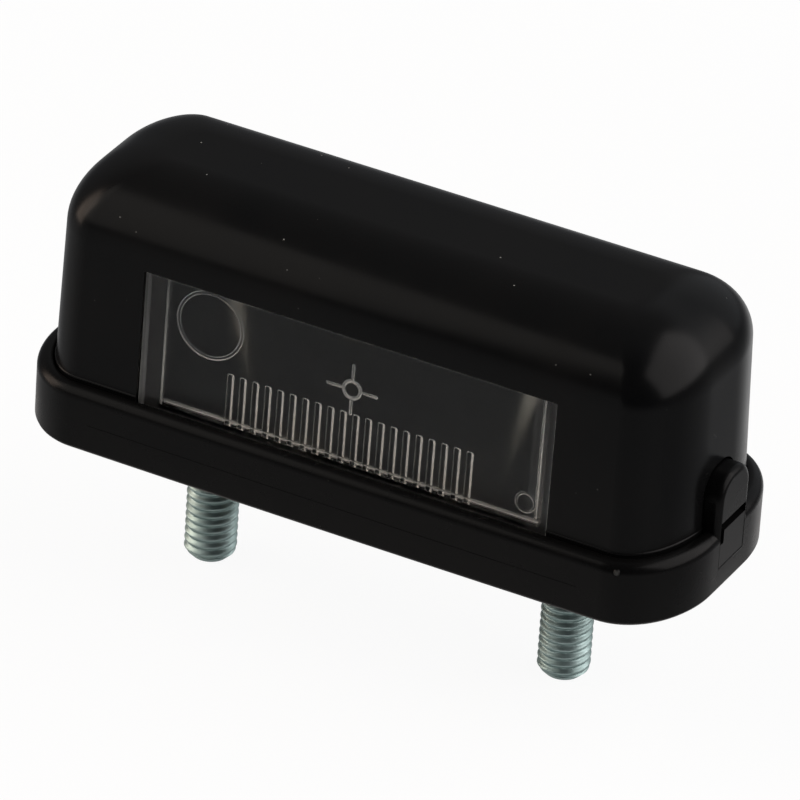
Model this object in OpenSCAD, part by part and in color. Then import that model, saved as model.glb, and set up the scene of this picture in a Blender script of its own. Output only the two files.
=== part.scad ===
// Number plate lamp. A clip-on hood with a clear front lens stands on a shallow tray with two mounting studs.
// Z is up, the lamp's length runs along X, the lens faces -Y and the mounting face of the tray is z = 0.

/* [Tray] */
// Length of the tray
base_l = 83; // [74:0.5:96]
// Width of the tray
base_w = 31.6; // [29:0.2:38]
// Height of the tray wall
base_h = 7.8; // [7:0.1:10]
// Plan radius of the tray corners
base_r = 10; // [9:0.5:12]
// Thickness of the tray wall
base_wall = 1.65; // [1.4:0.05:2.2]
// Thickness of the tray floor
floor_t = 2.4; // [1.8:0.1:3]
// Rounding along the top edge of the tray wall
rim_r = 1.35; // [0.6:0.05:1.35]
// Chamfer along the foot of the tray wall
foot_c = 0.5; // [0.2:0.1:0.8]

/* [Latches] */
// Width of a latch tab
tab_w = 7.2; // [6.4:0.2:9]
// Thickness of a latch tab
tab_t = 2.85; // [2.4:0.05:3.2]
// Height of the top of a latch tab above the mounting face
tab_top = 14.4; // [12:0.2:17]
// Radius of the two top corners of a latch tab
tab_r = 3; // [1.5:0.1:3.1]
// Width of the opening in a latch tab
latch_w = 6; // [5:0.1:6.2]
// Height of the lower edge of the opening
latch_z0 = 3.1; // [2.9:0.1:3.6]
// Height of the upper edge of the opening
latch_z1 = 8.9; // [8:0.1:10]
// Height of the step in the catch block
catch_step_z = 6.1; // [5:0.1:6.6]
// Height of the top of the catch block
catch_top_z = 7.7; // [7:0.1:8]
// Width of the upper part of the catch block
catch_w = 4.2; // [3:0.1:5]

/* [Hood] */
// Overall height above the mounting face
hood_top = 32.9; // [28:0.1:40]
// Radius of the large rounding round the top
hood_r = 8.3; // [6:0.1:9]
// Lean of the hood walls in degrees
hood_lean = 1.5; // [0.5:0.1:3]
// Thickness of the hood wall
hood_wall = 2.2; // [2:0.1:2.6]
// Groove between the hood and the tray wall
hood_groove = 0.35; // [0.25:0.05:0.6]

/* [Lens] */
// Width of the window in the hood
win_w = 51.2; // [44:0.2:56]
// Height of the window above the top of the tray wall
win_h = 16.1; // [14:0.1:18]
// Thickness of the lens plate
lens_t = 2; // [1.6:0.1:2.1]
// Depth of the lens face behind the hood face
lens_recess = 0.25; // [0.1:0.05:0.5]
// Width of the turned-in rim of the lens
lens_rim = 1.8; // [1.4:0.1:2.4]
// Thickness of the flange behind the hood wall
flange_t = 1.2; // [1:0.1:1.6]
// Overlap of the flange past the window's edge
flange_lap = 1.6; // [1.2:0.1:2]
// Height of the lens foot above the mounting face
lens_foot_z = 5.4; // [4.8:0.1:6]

/* [Lens marks] */
// Number of flutes
flute_count = 20; // [12:1:24]
// Distance between two flutes
flute_pitch = 1.57; // [1.3:0.01:1.7]
// Width of one flute
flute_w = 0.85; // [0.6:0.05:1]
// Height of a flute above the back of the plate
flute_t = 0.5; // [0.3:0.05:0.7]
// Height of the top of the flutes above the tray wall
flute_top = 5.9; // [5:0.1:7]
// Outer diameter of the plain ring
ring_d = 8.4; // [8:0.1:9]
// Distance of the plain ring to the left of the middle
ring_x = 17.9; // [16.5:0.1:18.5]
// Height of the plain ring above the tray wall
ring_z = 11; // [9.5:0.1:11.2]
// Height of the centre mark above the tray wall
cross_z = 8.95; // [8.7:0.05:12]
// Outer diameter of the ring in the centre mark
cross_d = 2.3; // [1.8:0.1:3]
// Length of one tick of the centre mark
cross_tick = 1.5; // [1:0.1:1.6]
// Outer diameter of the ejector mark
eject_d = 2.6; // [2:0.1:3]
// Line width of the moulded marks
mark_w = 0.35; // [0.25:0.05:0.5]
// Relief of the moulded marks
mark_t = 0.2; // [0.15:0.05:0.3]

/* [Cover seal] */
// Height of the seal under the hood skirt
seal_h = 1; // [0.8:0.1:1.4]

/* [Studs] */
// Distance between the two studs
stud_pitch = 45; // [40:0.5:48]
// Outer diameter of the stud thread
stud_d = 6; // [5:0.1:6]
// Length of a stud below the mounting face
stud_len = 18; // [12:0.5:30]
// Chamfer at the stud tip
stud_tip = 0.9; // [0.4:0.1:1.2]
// Height of the plain relief between the thread and the tray
relief_h = 0.6; // [0.4:0.1:1]
// Depth of the relief below the thread's outer diameter
relief_in = 0.6; // [0.4:0.1:0.7]
// Thickness of the collar round a stud in the tray floor
collar_t = 0.5; // [0.3:0.1:0.6]
// Width across the flats of a stud head
head_af = 10; // [9:0.1:10]
// Height of a stud head
head_h = 3.2; // [2.4:0.1:4]
// Wall round a stud head
head_wall = 1.2; // [1:0.1:1.4]
// Clearance round a stud and its head
stud_gap = 0.15; // [0.1:0.05:0.2]

/* [Contacts] */
// Distance between the two contact blades at the bulb axis
blade_span = 36; // [34:0.5:37]
// Width of a contact blade
blade_w = 8; // [6:0.1:8.4]
// Thickness of a contact blade
blade_t = 0.5; // [0.4:0.05:0.7]
// Distance of the bulb axis in front of the middle plane
bulb_y = 0.3; // [0:0.1:1]
// Height of the bulb axis above the mounting face
bulb_z = 21; // [18:0.1:22]
// Height of the blade top above the bulb axis
blade_rise = 4; // [3:0.1:5]
// Diameter of the bulb cap hole in a blade
blade_hole = 4; // [3:0.1:4.5]
// Distance of a blade foot's bend from the middle
blade_foot_x = 15.4; // [15:0.1:15.6]
// Height of the turned edge along the front of a blade
blade_lip = 1.4; // [1:0.1:2]

/* [Bulb] */
// Diameter of the bulb glass
glass_d = 10.4; // [8:0.1:11]
// Length of the full part of the bulb glass
glass_l = 20.4; // [16:0.2:21]
// Radius of the shoulders of the bulb glass
glass_r = 2.6; // [1.5:0.1:3.6]
// Thickness of the bulb glass
glass_t = 0.7; // [0.5:0.05:0.9]
// Diameter of the neck of the bulb glass
neck_d = 6.2; // [5:0.1:6.4]
// Diameter of a bulb cap
cap_d = 7; // [6.9:0.1:8]
// Length of the straight part of a bulb cap
cap_l = 3.6; // [3:0.1:4]
// Depth of the neck in a bulb cap
neck_in = 2.6; // [2:0.1:2.8]
// Diameter of the tip of a bulb cap
tip_d = 3.4; // [2:0.1:3.6]
// Diameter of the filament coil
coil_d = 0.9; // [0.6:0.1:1.2]
// Length of the filament coil
coil_l = 9; // [6:0.5:12]
// Diameter of the lead wires
wire_d = 0.45; // [0.3:0.05:0.6]

/* [Terminals] */
// Distance of a terminal and its rivet from the middle
term_x = 9.5; // [8.5:0.1:10]
// Width of a terminal tab
term_w = 6.3; // [4.8:0.1:6.3]
// Thickness of a terminal tab
term_t = 0.8; // [0.5:0.1:0.8]
// Length of a terminal tab below the mounting face
term_len = 8; // [6:0.5:10]
// Distance of a terminal tab behind the middle plane
term_y = 6; // [4:0.1:8]
// Diameter of the hole in a terminal tab
term_hole = 1.7; // [1.2:0.1:2]
// Distance of a rivet in front of the middle plane
rivet_y = 1.5; // [1:0.1:1.7]
// Shank diameter of a rivet
rivet_d = 3; // [2.4:0.1:3.2]
// Head diameter of a rivet
rivet_head_d = 5; // [4.2:0.1:5.4]
// Thickness of a rivet head
rivet_head_h = 0.5; // [0.4:0.05:0.7]
// Clearance of rivets and terminals in their holes
fix_gap = 0.1; // [0.1:0.05:0.15]

/* [Hidden] */
$fa = 4;
$fs = 0.3;
eps = 0.01;
cut = 1;
sit = 0.05;
tray_l = base_l - 2 * base_wall;
tray_w = base_w - 2 * base_wall;
tray_r = base_r - base_wall;
tab_in_x = base_l / 2 - tab_t;
hood_l = tray_l - 2 * hood_groove;
hood_w = tray_w - 2 * hood_groove;
skirt_z = floor_t + seal_h;
pocket_gap = 0.25;
pocket_x = tab_in_x - pocket_gap;
catch_gap = 0.15;
catch_out_x = base_l / 2 - catch_gap;
lean_tan = tan(hood_lean);
lens_gap = 0.15;
lens_w = win_w - 2 * lens_gap;
lens_h = win_h - lens_gap;
lens_back = lens_recess + lens_t;
lens_low = lens_foot_z - base_h;
eject_x = lens_w / 2 - lens_rim - eject_d / 2 - mark_w;
eject_z = lens_low + lens_rim + eject_d / 2 + 3 * mark_w;
flange_gap = 0.1;
flange_y = hood_wall + flange_gap;
flange_w = win_w + 2 * flange_lap;
flange_h = win_h + flange_lap;
lens_dip = (flange_y + flange_t) * sin(hood_lean);
rail_w = 1.6;
rail_lip = 1.2;
rail_y = flange_y + flange_t + flange_gap;
rail_x = flange_w / 2 + flange_gap;
rail_low = -2.2;
rest_x = 18;
rest_w = 3;
rest_t = 2;
relief_d = stud_d - 2 * relief_in;
collar_d = stud_d + 2 * collar_t;
boss_af = head_af + 2 * stud_gap + 2 * head_wall;
foot_in_x = term_x - term_w / 2;
rivet_top = floor_t + blade_t + term_t;
blade_out_x = blade_span / 2 + blade_t;
blade_bend_z = bulb_z + blade_rise / 2;
blade_flare = 1;
lip_low = 3;
lip_slope = 2;
hole_reach = 2;
rivet_sunk = 0.2;
rivet_low = rivet_head_h + rivet_sunk;
sink_d = rivet_head_d + 1;
rivet_bore = 1.5;
rivet_deep = 1;
neck_gap = 0.1;
tip_past = 0.2;
tip_x = blade_span / 2 + tip_past;
cap_off = 0.5;
cap_x = glass_l / 2 + cap_off;
cap_end = cap_x + cap_l;
neck_x = cap_x + neck_in;
black = [0.06, 0.06, 0.065];

// Rounded tray outline
module plan(l, w, r) {
    square([l - 2 * r, w], center = true);
    square([l, w - 2 * r], center = true);
    for (x = [-1, 1])
        for (y = [-1, 1])
            translate([x * (l / 2 - r), y * (w / 2 - r)])
                circle(r = r);
}

// Half section of the tray block, from a plane inside it to its outer face
module rim_section(reach) {
    difference() {
        square([reach, base_h]);
        translate([reach - foot_c, -eps])
            rotate(-45)
                square([2 * foot_c, foot_c * sqrt(2)]);
        translate([reach - rim_r, base_h - rim_r])
            square([rim_r + cut, rim_r + cut]);
    }
    translate([reach - rim_r, base_h - rim_r])
        circle(r = rim_r);
}

// Solid tray block with a rounded top edge
module tray_block() {
    for (s = [0, 180])
        rotate(s) {
            translate([0, base_w / 2 - base_r, 0])
                rotate([90, 0, 90])
                    linear_extrude(base_l - 2 * base_r, center = true)
                        rim_section(base_r);
            translate([base_l / 2 - base_r, 0, 0])
                rotate([90, 0, 0])
                    linear_extrude(base_w - 2 * base_r, center = true)
                        rim_section(base_r);
        }
    for (x = [-1, 1])
        for (y = [-1, 1])
            translate([x * (base_l / 2 - base_r), y * (base_w / 2 - base_r), 0])
                rotate_extrude()
                    rim_section(base_r);
    translate([0, 0, base_h / 2])
        cube([base_l - 2 * base_r, base_w - 2 * base_r, base_h], center = true);
}

// Outline of a latch tab in its own plane
module tab_outline(w, top, r) {
    translate([-w / 2, 0])
        square([w, top - r]);
    translate([-w / 2 + r, 0])
        square([w - 2 * r, top]);
    for (s = [-1, 1])
        translate([s * (w / 2 - r), top - r])
            circle(r = r);
}

// Latch tab on the right end
module tab() {
    translate([tab_in_x, 0, 0])
        rotate([90, 0, 90])
            linear_extrude(tab_t)
                translate([0, floor_t - eps])
                    tab_outline(tab_w, tab_top - floor_t + eps, tab_r);
}

module latch_opening() {
    translate([tab_in_x - cut, -latch_w / 2, latch_z0])
        cube([tab_t + 2 * cut, latch_w, latch_z1 - latch_z0]);
}

// Hexagon across its flats, with two flats across X
module hexagon(af) {
    intersection_for(a = [0, 60, 120])
        rotate(a)
            square([af, 2 * af], center = true);
}

module base() {
    color(black)
        difference() {
            union() {
                difference() {
                    tray_block();
                    translate([0, 0, floor_t])
                        linear_extrude(base_h)
                            plan(tray_l, tray_w, tray_r);
                }
                for (a = [0, 180])
                    rotate(a)
                        tab();
                for (s = [-1, 1])
                    translate([s * stud_pitch / 2, 0, floor_t - eps])
                        linear_extrude(head_h + eps)
                            hexagon(boss_af);
                for (s = [-1, 1])
                    translate([s * rest_x - rest_w / 2, -tray_w / 2 + hood_groove + hood_wall, floor_t - eps])
                        cube([rest_w, rest_t, lens_foot_z - lens_dip - sit - floor_t + eps]);
            }
            for (a = [0, 180])
                rotate(a)
                    latch_opening();
            for (s = [-1, 1]) {
                translate([s * stud_pitch / 2, 0, floor_t])
                    linear_extrude(head_h + cut)
                        hexagon(head_af + 2 * stud_gap);
                translate([s * stud_pitch / 2, 0, -cut])
                    cylinder(d = collar_d + 2 * stud_gap, h = floor_t + 2 * cut);
                translate([s * term_x, -rivet_y, -cut])
                    cylinder(d = rivet_d + 2 * fix_gap, h = floor_t + 2 * cut);
                translate([s * term_x, -rivet_y, -cut])
                    cylinder(d = sink_d, h = rivet_low + cut);
                translate([s * term_x - term_w / 2 - fix_gap, term_y - fix_gap, -cut])
                    cube([term_w + 2 * fix_gap, term_t + 2 * fix_gap, floor_t + 2 * cut]);
            }
        }
}

// Section of the hood block with its two rounded top edges
module hood_section(reach, top, low, r) {
    zc = top - r;
    low_x = reach + r + (zc - low) * lean_tan;
    polygon([[-low_x, low], [low_x, low], [reach + r, zc], [-reach - r, zc]]);
    translate([-reach, zc])
        square([2 * reach, r]);
    for (s = [-1, 1])
        translate([s * reach, zc])
            circle(r = r);
}

// Solid hood block, given its size at the top of the tray wall
module hood_block(l, w, top, low, r) {
    zc = top - r;
    axis_x = l / 2 - (zc - base_h) * lean_tan - r;
    axis_y = w / 2 - (zc - base_h) * lean_tan - r;
    rotate([90, 0, 90])
        linear_extrude(2 * axis_x, center = true)
            hood_section(axis_y, top, low, r);
    rotate([90, 0, 0])
        linear_extrude(2 * axis_y, center = true)
            hood_section(axis_x, top, low, r);
    for (x = [-1, 1])
        for (y = [-1, 1])
            translate([x * axis_x, y * axis_y, 0]) {
                translate([0, 0, low])
                    cylinder(r1 = r + (zc - low) * lean_tan, r2 = r, h = zc - low);
                translate([0, 0, zc])
                    sphere(r = r);
            }
}

// Frame on the hood's front face, its origin at the middle of the window's foot
module on_front() {
    translate([0, -hood_w / 2, base_h])
        rotate([-hood_lean, 0, 0])
            children();
}

module catch() {
    translate([pocket_x - eps, -latch_w / 2 + catch_gap, latch_z0 + catch_gap])
        cube([catch_out_x - pocket_x + eps, latch_w - 2 * catch_gap, catch_step_z - latch_z0 - catch_gap]);
    translate([pocket_x - eps, -catch_w / 2, catch_step_z - eps])
        cube([catch_out_x - pocket_x + eps, catch_w, catch_top_z - catch_step_z + eps]);
}

module rail() {
    translate([rail_x, flange_y - hood_wall, rail_low])
        cube([rail_w, hood_wall + flange_t + flange_gap + rail_lip, flange_h - rail_low]);
    translate([rail_x - rail_lip, rail_y, rail_low])
        cube([rail_lip + eps, rail_lip, flange_h - rail_low]);
}

module housing() {
    color(black) {
        difference() {
            hood_block(hood_l, hood_w, hood_top, skirt_z, hood_r);
            hood_block(hood_l - 2 * hood_wall, hood_w - 2 * hood_wall, hood_top - hood_wall, skirt_z - cut,
                hood_r - hood_wall);
            on_front()
                translate([-win_w / 2, -cut, -base_h])
                    cube([win_w, hood_wall + 2 * cut, base_h + win_h]);
            for (a = [0, 180])
                rotate(a)
                    translate([pocket_x, 0, 0])
                        rotate([90, 0, 90])
                            linear_extrude(tab_t + cut)
                                tab_outline(tab_w + 2 * pocket_gap, tab_top + pocket_gap, tab_r + pocket_gap);
        }
        for (a = [0, 180])
            rotate(a)
                catch();
        on_front() {
            rail();
            mirror([1, 0, 0])
                rail();
        }
    }
}

// Vertical plate in the lens frame
module slab(w, y0, y1, z0, z1) {
    translate([-w / 2, y0, z0])
        cube([w, y1 - y0, z1 - z0]);
}

// Puts a flat mark on the back of the lens plate
module on_back(x, z, t) {
    translate([x, lens_back - eps, z])
        rotate([-90, 0, 0])
            linear_extrude(t + eps)
                children();
}

module ring_mark(d) {
    difference() {
        circle(d = d);
        circle(d = d - 2 * mark_w);
    }
}

module flute() {
    translate([-flute_w / 2, -flute_top + flute_w / 2])
        square([flute_w, flute_top - flute_w / 2 - lens_low - lens_rim + eps]);
    translate([0, -flute_top + flute_w / 2])
        circle(d = flute_w);
}

module lens() {
    color([0.85, 0.88, 0.9, 0.35])
        on_front() {
            difference() {
                union() {
                    slab(lens_w, lens_recess, flange_y + flange_t, lens_low, lens_h);
                    slab(flange_w, flange_y, flange_y + flange_t, lens_low, flange_h - lens_gap);
                }
                slab(lens_w - 2 * lens_rim, lens_back, rail_y + cut, lens_low + lens_rim, lens_h - lens_rim);
            }
            for (i = [0:flute_count - 1])
                on_back((i - (flute_count - 1) / 2) * flute_pitch, 0, flute_t)
                    flute();
            on_back(-ring_x, ring_z, mark_t)
                ring_mark(ring_d);
            on_back(0, cross_z, mark_t)
                ring_mark(cross_d);
            for (a = [0, 90, 180, 270])
                on_back(0, cross_z, mark_t)
                    rotate(a)
                        translate([cross_d / 2 - mark_w / 2, -mark_w / 2])
                            square([cross_tick, mark_w]);
            on_back(eject_x, eject_z, mark_t)
                ring_mark(eject_d);
        }
}

module cover_seal() {
    color([0.1, 0.1, 0.1])
        translate([0, 0, floor_t])
            difference() {
                linear_extrude(seal_h)
                    difference() {
                        plan(tray_l - 2 * sit, tray_w - 2 * sit, tray_r - sit);
                        plan(hood_l - 2 * hood_wall, hood_w - 2 * hood_wall, tray_r - hood_groove - hood_wall);
                    }
                for (a = [0, 180])
                    rotate(a)
                        translate([pocket_x - sit, -tab_w / 2 - pocket_gap, -cut])
                            cube([tab_t + cut, tab_w + 2 * pocket_gap, seal_h + 2 * cut]);
            }
}

module stud() {
    translate([0, 0, -stud_len + stud_tip])
        cylinder(d = stud_d, h = stud_len - stud_tip - relief_h);
    translate([0, 0, -stud_len])
        cylinder(d1 = stud_d - 2 * stud_tip, d2 = stud_d, h = stud_tip);
    translate([0, 0, -relief_h - eps])
        cylinder(d = relief_d, h = relief_h + 2 * eps);
    cylinder(d = collar_d, h = floor_t + eps);
    translate([0, 0, floor_t])
        linear_extrude(head_h - sit)
            hexagon(head_af);
}

module left_stud() {
    color([0.7, 0.74, 0.78])
        translate([-stud_pitch / 2, 0, 0])
            stud();
}

module right_stud() {
    color([0.7, 0.74, 0.78])
        translate([stud_pitch / 2, 0, 0])
            stud();
}

// Side view of the right blade with its foot
module blade_side() {
    polygon([[foot_in_x, floor_t], [blade_foot_x, floor_t], [blade_out_x, bulb_z],
        [blade_out_x, blade_bend_z], [blade_out_x + blade_flare, bulb_z + blade_rise],
        [blade_span / 2 + blade_flare, bulb_z + blade_rise], [blade_span / 2, blade_bend_z],
        [blade_span / 2, bulb_z], [blade_foot_x - blade_t, floor_t + blade_t], [foot_in_x, floor_t + blade_t]]);
}

// Turned edge along the front of the right blade
module lip_side() {
    polygon([[blade_foot_x, floor_t + lip_low], [blade_span / 2, bulb_z], [blade_span / 2, blade_bend_z],
        [blade_span / 2 + blade_lip, blade_bend_z], [blade_span / 2 + blade_lip, bulb_z - lip_slope]]);
}

module contact() {
    difference() {
        union() {
            translate([0, -bulb_y, 0])
                rotate([90, 0, 0])
                    linear_extrude(blade_w, center = true)
                        blade_side();
            translate([0, -bulb_y - blade_w / 2 + blade_t, 0])
                rotate([90, 0, 0])
                    linear_extrude(blade_t)
                        lip_side();
        }
        translate([blade_span / 2 - hole_reach, -bulb_y, bulb_z])
            rotate([0, 90, 0])
                cylinder(d = blade_hole, h = 2 * hole_reach);
        translate([term_x, -rivet_y, floor_t - cut])
            cylinder(d = rivet_d + 2 * fix_gap, h = blade_t + 2 * cut);
    }
}

module left_contact() {
    color([0.8, 0.65, 0.35])
        mirror([1, 0, 0])
            contact();
}

module right_contact() {
    color([0.8, 0.65, 0.35])
        contact();
}

// Side outline of the bulb glass, grown inward by a thickness
module glass_side(t, neck_r, reach) {
    r = glass_d / 2 - t;
    l = glass_l / 2 - t;
    shoulder = glass_r - t;
    translate([-l, 0])
        square([2 * l, r - shoulder]);
    translate([-l + shoulder, 0])
        square([2 * (l - shoulder), r]);
    translate([-reach, 0])
        square([2 * reach, neck_r]);
    for (s = [-1, 1])
        translate([s * (l - shoulder), r - shoulder])
            circle(r = shoulder);
}

// Turns a side outline drawn along X round the bulb axis
module on_bulb_axis() {
    translate([0, -bulb_y, bulb_z])
        rotate([0, 90, 0])
            rotate_extrude()
                rotate(90)
                    mirror([0, 1])
                        intersection() {
                            children();
                            translate([-blade_span, 0])
                                square([2 * blade_span, glass_d]);
                        }
}

module bulb_glass() {
    color([0.9, 0.93, 0.95, 0.3])
        on_bulb_axis()
            difference() {
                glass_side(0, neck_d / 2, neck_x);
                glass_side(glass_t, neck_d / 2 - glass_t, neck_x + cut);
            }
}

module bulb_cap() {
    on_bulb_axis()
        difference() {
            polygon([[cap_x, 0], [cap_x, cap_d / 2], [cap_end, cap_d / 2], [tip_x, tip_d / 2], [tip_x, 0]]);
            translate([cap_x - cut, -cut])
                square([neck_in + neck_gap + cut, neck_d / 2 + neck_gap + cut]);
        }
}

module left_bulb_cap() {
    color([0.75, 0.76, 0.78])
        mirror([1, 0, 0])
            bulb_cap();
}

module right_bulb_cap() {
    color([0.75, 0.76, 0.78])
        bulb_cap();
}

module bulb_filament() {
    color([0.35, 0.35, 0.36])
        on_bulb_axis() {
            square([coil_l, coil_d], center = true);
            square([2 * (neck_x + neck_gap), wire_d], center = true);
        }
}

module terminal() {
    difference() {
        union() {
            translate([-term_w / 2, term_y, -term_len + term_t])
                cube([term_w, term_t, rivet_top + term_len - term_t]);
            translate([-term_w / 2 + term_t, term_y, -term_len])
                cube([term_w - 2 * term_t, term_t, term_len]);
            translate([-term_w / 2, -rivet_y - rivet_head_d / 2, floor_t + blade_t])
                cube([term_w, term_y + rivet_y + rivet_head_d / 2 + term_t, term_t]);
        }
        translate([0, -rivet_y, floor_t])
            cylinder(d = rivet_d + 2 * fix_gap, h = blade_t + term_t + cut);
        translate([0, term_y - cut, -term_len / 2])
            rotate([-90, 0, 0])
                cylinder(d = term_hole, h = term_t + 2 * cut);
    }
}

module left_terminal() {
    color([0.8, 0.65, 0.35])
        translate([-term_x, 0, 0])
            terminal();
}

module right_terminal() {
    color([0.8, 0.65, 0.35])
        translate([term_x, 0, 0])
            terminal();
}

module rivet() {
    difference() {
        union() {
            translate([0, -rivet_y, rivet_low - rivet_head_h])
                cylinder(d = rivet_d, h = rivet_top - rivet_low + 2 * rivet_head_h);
            translate([0, -rivet_y, rivet_top])
                cylinder(d = rivet_head_d, h = rivet_head_h);
            translate([0, -rivet_y, rivet_low - rivet_head_h])
                cylinder(d = rivet_head_d, h = rivet_head_h);
        }
        translate([0, -rivet_y, 0])
            cylinder(d = rivet_bore, h = rivet_low + rivet_deep);
    }
}

module left_rivet() {
    color([0.78, 0.6, 0.3])
        translate([-term_x, 0, 0])
            rivet();
}

module right_rivet() {
    color([0.78, 0.6, 0.3])
        translate([term_x, 0, 0])
            rivet();
}

base();
housing();
lens();
cover_seal();
left_stud();
right_stud();
left_contact();
right_contact();
left_terminal();
right_terminal();
left_rivet();
right_rivet();
bulb_glass();
left_bulb_cap();
right_bulb_cap();
bulb_filament();
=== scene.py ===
"""Number plate lamp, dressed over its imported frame.

Shapes are drawn in millimetres, and finish_piece scales them to metres.
"""
import bmesh
import bpy
import math
from mathutils import Matrix, Vector


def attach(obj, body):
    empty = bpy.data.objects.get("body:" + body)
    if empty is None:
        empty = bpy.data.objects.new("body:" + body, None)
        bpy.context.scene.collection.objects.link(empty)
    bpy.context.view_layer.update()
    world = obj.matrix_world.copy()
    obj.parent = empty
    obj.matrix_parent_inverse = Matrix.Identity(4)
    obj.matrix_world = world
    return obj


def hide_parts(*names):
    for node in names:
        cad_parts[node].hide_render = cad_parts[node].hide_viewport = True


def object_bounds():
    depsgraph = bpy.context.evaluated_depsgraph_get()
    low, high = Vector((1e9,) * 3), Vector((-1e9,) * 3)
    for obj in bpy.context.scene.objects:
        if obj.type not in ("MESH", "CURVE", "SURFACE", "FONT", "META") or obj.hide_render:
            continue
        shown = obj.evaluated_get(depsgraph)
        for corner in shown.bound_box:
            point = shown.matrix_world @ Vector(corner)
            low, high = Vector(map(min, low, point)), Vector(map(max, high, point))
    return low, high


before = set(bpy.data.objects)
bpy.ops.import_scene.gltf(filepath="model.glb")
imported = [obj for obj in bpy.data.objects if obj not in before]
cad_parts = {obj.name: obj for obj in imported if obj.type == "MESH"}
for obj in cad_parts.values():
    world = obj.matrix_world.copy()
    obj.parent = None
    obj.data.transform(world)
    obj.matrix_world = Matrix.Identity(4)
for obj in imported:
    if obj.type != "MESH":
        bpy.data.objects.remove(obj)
cad_box = [list(corner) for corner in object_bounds()]

# Sizes are in millimetres, as in the part's source, and the outer ones come from the frame's box
MM = 0.001
BOX_LOW, BOX_HIGH = [[round(value / MM, 2) for value in corner] for corner in cad_box]

# A cutter reaches CUT past what it cuts, and an added block SINK into what carries it
CUT, SINK = 1, 0.2

# Points that are closer are made one, on most shapes, on fine ones and on the hood
NEAR, NEAR_FINE, NEAR_HOOD = 0.0005, 0.00005, 0.002

# Edges sharper than this many degrees are rounded off, or shaded as sharp
SHARP = 32

# Tray: outer size, wall, floor, rounding of the rim outside and inside, and rounding of the other edges
BASE_L, BASE_W, BASE_H = BOX_HIGH[0] - BOX_LOW[0], BOX_HIGH[1] - BOX_LOW[1], 7.8
WALL, FLOOR, RIM_R, RIM_IN_R, RIM_IN_MID, TRAY_EDGE = 1.65, 2.4, 1.35, 0.12, 0.035, 0.13

# Section of the tray's foot as (inset, height)
FOOT = [(0.5, 0.0), (0.15, 0.31), (0.0, 0.625)]

# The tray's oval corners outside and inside, before an inset, and the bulge of its long walls
RIM_X, RIM_Y, RIM_IN_X, RIM_IN_Y, BULGE = 8.4, 11.3, 8.5, 12.75, 0.22
CORNER_STEPS = 24

# Bulge of the short ends of tray and hood
END_BULGE = 0.08

# Latch tab: width, thickness, top, corners, edge rounding and gap to the hood, and the opening in it
TAB_W, TAB_T, TAB_TOP, TAB_R, TAB_EDGE, TAB_GAP = 7.2, 2.85, 14.4, 3.0, 0.75, 0.25
TAB_IN = BASE_L / 2 - TAB_T
POCKET_X = TAB_IN - TAB_GAP
LATCH_W, LATCH_Z0, LATCH_Z1 = 6.0, 3.1, 8.9

# Catch block in the opening, the gaps at its two sides and below, and its depth behind the tab's face
CATCH_Z, CATCH_TOP, CATCH_W = 6.1, 7.7, 4.2
CATCH_GAP, CATCH_NEAR, CATCH_SET = 0.15, 0.03, 0.04

# Hood: top, lean, wall, groove to the tray and foot
HOOD_TOP, LEAN, HOOD_WALL, GROOVE, SKIRT_Z = BOX_HIGH[2], math.radians(1.5), 2.2, 0.35, 3.4
HOOD_L = BASE_L - 2 * (WALL + GROOVE)
HOOD_W = BASE_W - 2 * (WALL + GROOVE)

# Bead round the hood: its height over the tray, half its own height and its relief
HOOD_BEAD_Z, HOOD_BEAD_H, HOOD_BEAD_T = 0.28, 0.2, 0.16

# The hood's top edge is an elliptical rounding, and its plan corners are ovals, longer along the end walls
OVAL_X, OVAL_Y, CROWN_X, CROWN_Y, TOP_HIGH, TOP_DEEP = 6.3, 10.6, 1.6, 2.8, 7.74, 9.8
HOOD_CORNER_STEPS, CROWN_STEPS = 26, 24

# Window, and the rails that hold the lens behind it, as spans in X and depth, and in height
WIN_W, WIN_H = 51.2, 16.1
RAIL_WEB, RAIL_LIP, RAIL_Z = (27.3, 28.9, 0.1, 4.8), (26.1, 27.4, 3.6, 4.8), (-2.2, 17.7)

# Lens: gap in the window, face, back of the plate and of the rim, foot and edge rounding
LENS_GAP, LENS_FACE, PANE_BACK, LENS_BACK, LENS_LOW, LENS_EDGE = 0.15, 0.25, 2.25, 3.5, -2.4, 0.24

# The lens's flange behind the window, and its turned-in rim with the slopes to the plate
FLANGE_Y, FLANGE_LAP = 2.3, 1.6
LENS_RIM_SIDE, LENS_RIM_FOOT, LENS_RIM_TOP = 1.8, 1.7, 0.3
RIM_SLOPE_LEFT, RIM_SLOPE_RIGHT, RIM_SLOPE_DEEP = 0.42, 0.12, 0.4

# Flutes: number, distance, half width, foot, top, radii of the top, relief, and slopes (left, right, top)
FLUTES, FLUTE_PITCH, FLUTE_HALF, FLUTE_FOOT, FLUTE_TOP = 20, 1.57, 0.44, -0.62, 5.9
FLUTE_R_RIGHT, FLUTE_R_LEFT, FLUTE_DEEP, FLUTE_SLOPES = 0.3, 0.22, 0.36, (0.0, 0.39, 0.28)

# Bar along the plate's right edge: its two sides before the rim, foot, relief and slopes
SIDE_FAR, SIDE_NEAR, SIDE_FOOT, SIDE_DEEP, SIDE_SLOPES = 0.46, 0.1, 0.3, 0.3, (0.02, 0.3, 0.0)
BAR_SINK = 0.1

# Plain ring, centre mark's ring and ejector ring as (x, z, diameter, width, relief), and the mark's ticks
RINGS = ((-17.9, 11.0, 8.4, 0.46, 0.2), (0, 8.75, 2.5, 0.42, 0.2), (22.0, 1.9, 2.6, 0.35, 0.14))
TICK_Z, TICK_FROM, TICK_TO, TICK_W, TICK_DEEP = 8.75, 1.4, 3.0, 0.38, 0.18

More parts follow.
